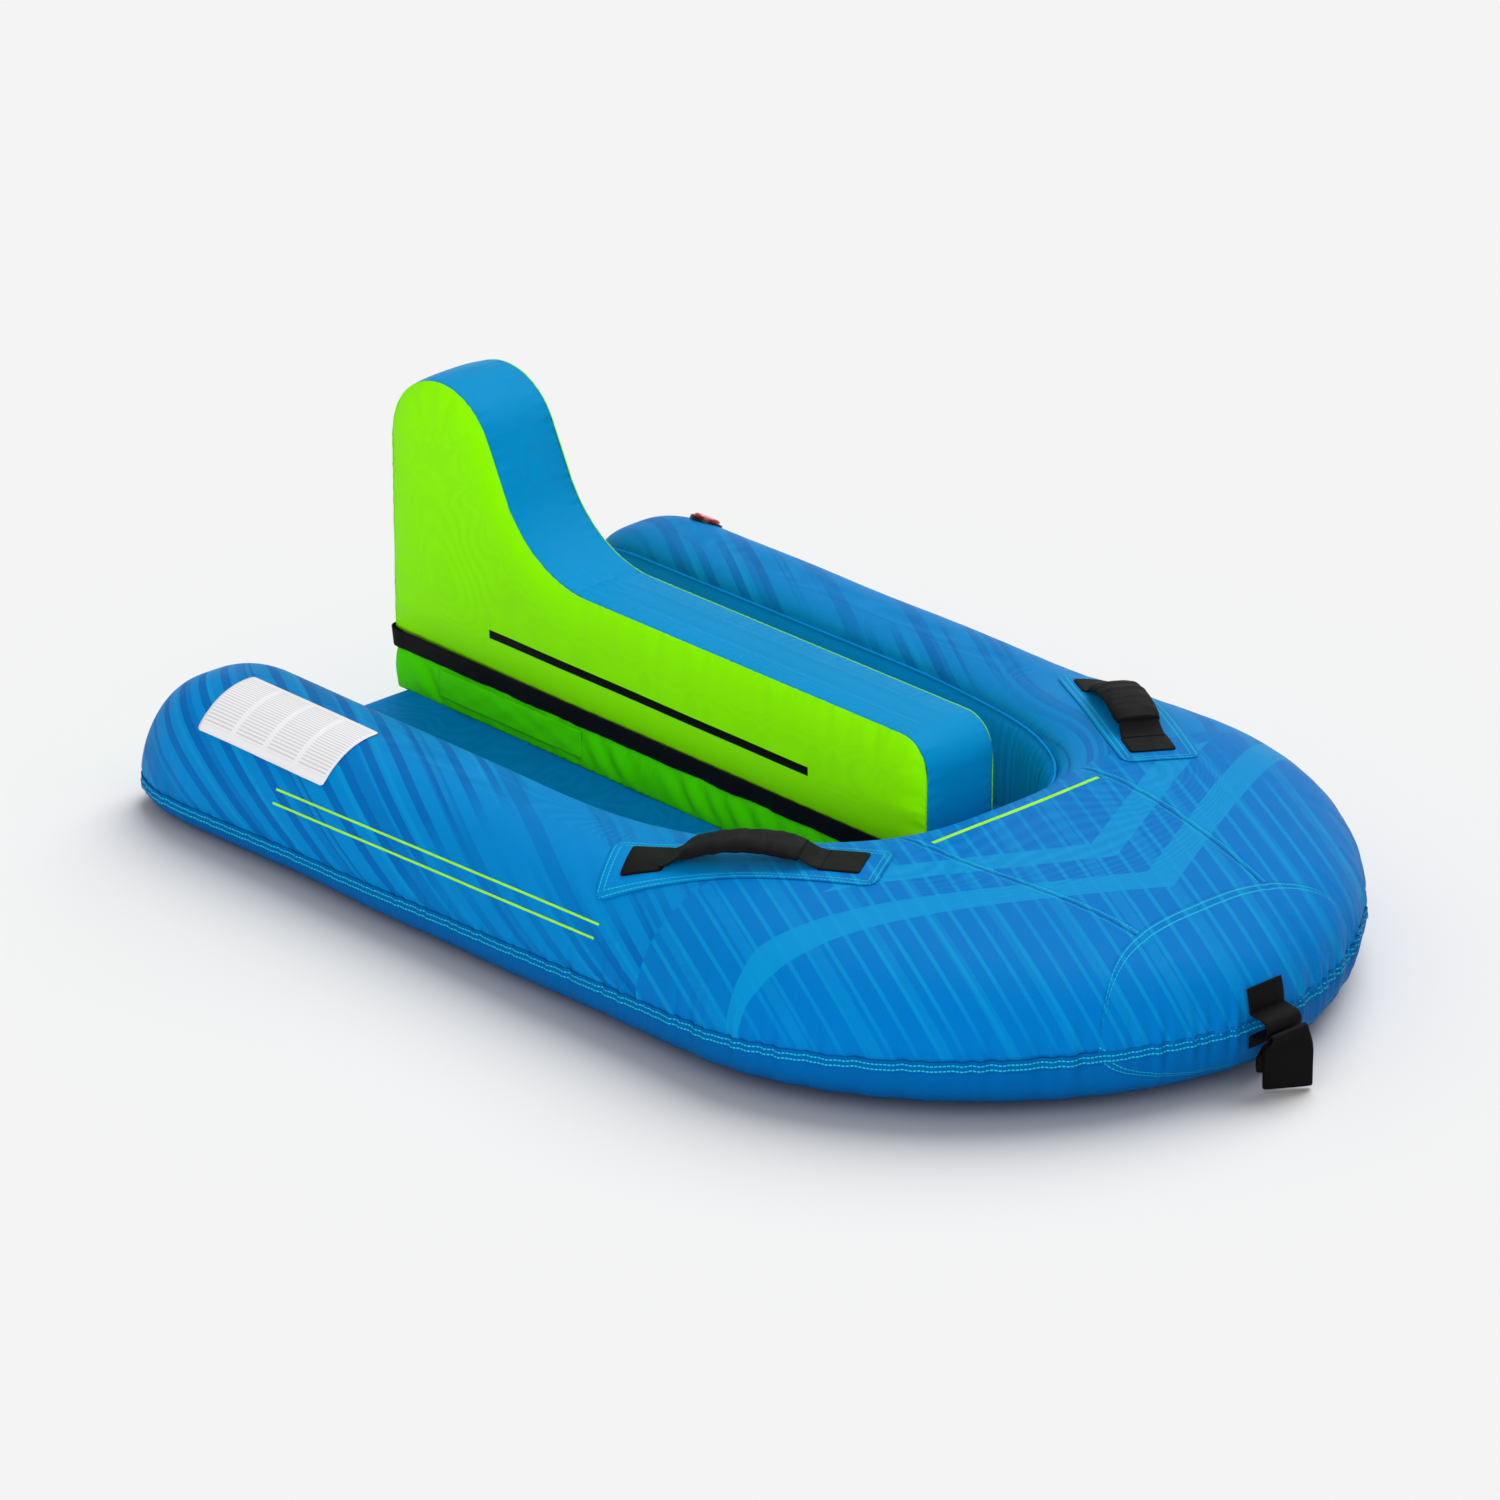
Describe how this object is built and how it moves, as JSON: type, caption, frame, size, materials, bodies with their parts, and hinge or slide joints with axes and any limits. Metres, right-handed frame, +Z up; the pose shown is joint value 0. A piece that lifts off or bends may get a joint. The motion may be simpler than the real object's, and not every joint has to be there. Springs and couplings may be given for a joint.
{
  "type": "towable tube",
  "caption": "Towable water tube: U-shaped inflated hull with blunt nose, straddle seat with backrest, two carrying handles and a towing loop",
  "frame": {"origin": "on the ground under the hull, on the keel plane, near mid length", "axes": "+Z up, nose toward -Y, rider's left (port) is +X"},
  "size_m": [0.8254, 1.3404, 0.417],
  "materials": {
    "bladder_film": "welded PVC film",
    "gusset_cloth": "coated woven nylon, mid blue",
    "label_film": "plain white printed film",
    "lime_cloth": "coated woven nylon, lime green",
    "mesh": "open drain mesh",
    "padding": "neoprene padding sleeve",
    "plain_cover": "coated woven nylon, plain blue",
    "printed_cover": "coated woven nylon, printed",
    "spring_steel": "stainless spring wire",
    "valve_black": "moulded plastic",
    "valve_red": "glossy moulded plastic",
    "wall_cloth": "coated woven nylon, teal blue",
    "webbing": "woven polypropylene webbing",
    "zip_plastic": "coil zipper tape"
  },
  "bodies": {
    "hull": {"bottom_cover": "plain_cover", "bottom_panel": "plain_cover", "cockpit_wall": "wall_cloth", "drain_mesh": "mesh", "floor_bladder": "bladder_film", "floor_panel": "wall_cloth", "floor_tag": "label_film", "handle_patch_port": "printed_cover", "handle_patch_starboard": "printed_cover", "handle_tabs_port": "webbing", "handle_tabs_starboard": "webbing", "handle_tail_front_port": "webbing", "handle_tail_front_starboard": "webbing", "handle_tail_rear_port": "webbing", "handle_tail_rear_starboard": "webbing", "hull_bladder": "bladder_film", "hull_valve_body": "valve_black", "hull_valve_spring": "spring_steel", "hull_zip_tape": "zip_plastic", "nose_patch": "printed_cover", "rear_label": "label_film", "rim_piping": "printed_cover", "seam_tape": "plain_cover", "seat_bladder": "bladder_film", "seat_gusset": "gusset_cloth", "seat_side_port": "lime_cloth", "seat_side_starboard": "lime_cloth", "seat_skirt": "lime_cloth", "seat_valve_body": "valve_black", "seat_valve_cap": "valve_black", "seat_zip_flap": "zip_plastic", "seat_zip_tape": "zip_plastic", "top_cover": "printed_cover", "tow_anchor": "webbing"},
    "tow_strap": {"tow_strap_front": "webbing", "tow_strap_back": "webbing"},
    "handle_port": {"handle_strap_port": "webbing", "handle_grip_port": "padding"},
    "handle_starboard": {"handle_strap_starboard": "webbing", "handle_grip_starboard": "padding"},
    "seat_zip_runner": {"seat_zip_slider": "zip_plastic"},
    "seat_zip_tab": {"seat_zip_pull": "webbing"},
    "access_flap": {"seat_access_flap": "lime_cloth"},
    "valve_lid": {"hull_valve_cap": "valve_red"},
    "valve_poppet": {"hull_valve_stem": "valve_black"},
    "hull_zip_runner": {"hull_zip_slider": "zip_plastic", "hull_zip_pull": "zip_plastic"}
  },
  "joints": [
    {"name": "tow_strap_swing", "type": "hinge", "parent": "hull", "child": "tow_strap", "pos_m": [0, -0.6804, 0.0622], "axis": [1, 0, 0], "range_deg": [-110, 0]},
    {"name": "handle_port_flop", "type": "hinge", "parent": "hull", "child": "handle_port", "pos_m": [0.27025, -0.1816, 0.17237], "axis": [-0.5159, -0.8484, 0.1184], "range_deg": [-15, 15]},
    {"name": "handle_starboard_flop", "type": "hinge", "parent": "hull", "child": "handle_starboard", "pos_m": [-0.27025, -0.1816, 0.17237], "axis": [0.5159, -0.8484, 0.1184], "range_deg": [-15, 15]},
    {"name": "seat_zip_slide", "type": "slide", "parent": "hull", "child": "seat_zip_runner", "axis": [1, 0, 0], "range_m": [0, 0.06]},
    {"name": "seat_zip_pull_swing", "type": "hinge", "parent": "seat_zip_runner", "child": "seat_zip_tab", "pos_m": [-0.032, 0.6235, 0.105], "axis": [1, 0, 0], "range_deg": [-150, 0]},
    {"name": "access_flap_open", "type": "hinge", "parent": "hull", "child": "access_flap", "pos_m": [-0.0489, 0.425, 0.0506], "axis": [0, 1, 0], "range_deg": [-90, 0]},
    {"name": "valve_lid_open", "type": "hinge", "parent": "hull", "child": "valve_lid", "pos_m": [0.33902, 0.555, 0.1521], "axis": [0, 1, 0], "range_deg": [-130, 0]},
    {"name": "valve_poppet_press", "type": "slide", "parent": "hull", "child": "valve_poppet", "axis": [-0.4887, 0, -0.8725], "range_m": [0, 0.004], "stiffness_N_per_m": 600, "springref_m": -0.002, "deforming": ["hull_valve_spring"]},
    {"name": "hull_zip_slide", "type": "slide", "parent": "hull", "child": "hull_zip_runner", "axis": [0, 1, 0], "range_m": [-0.38, 0]}
  ]
}
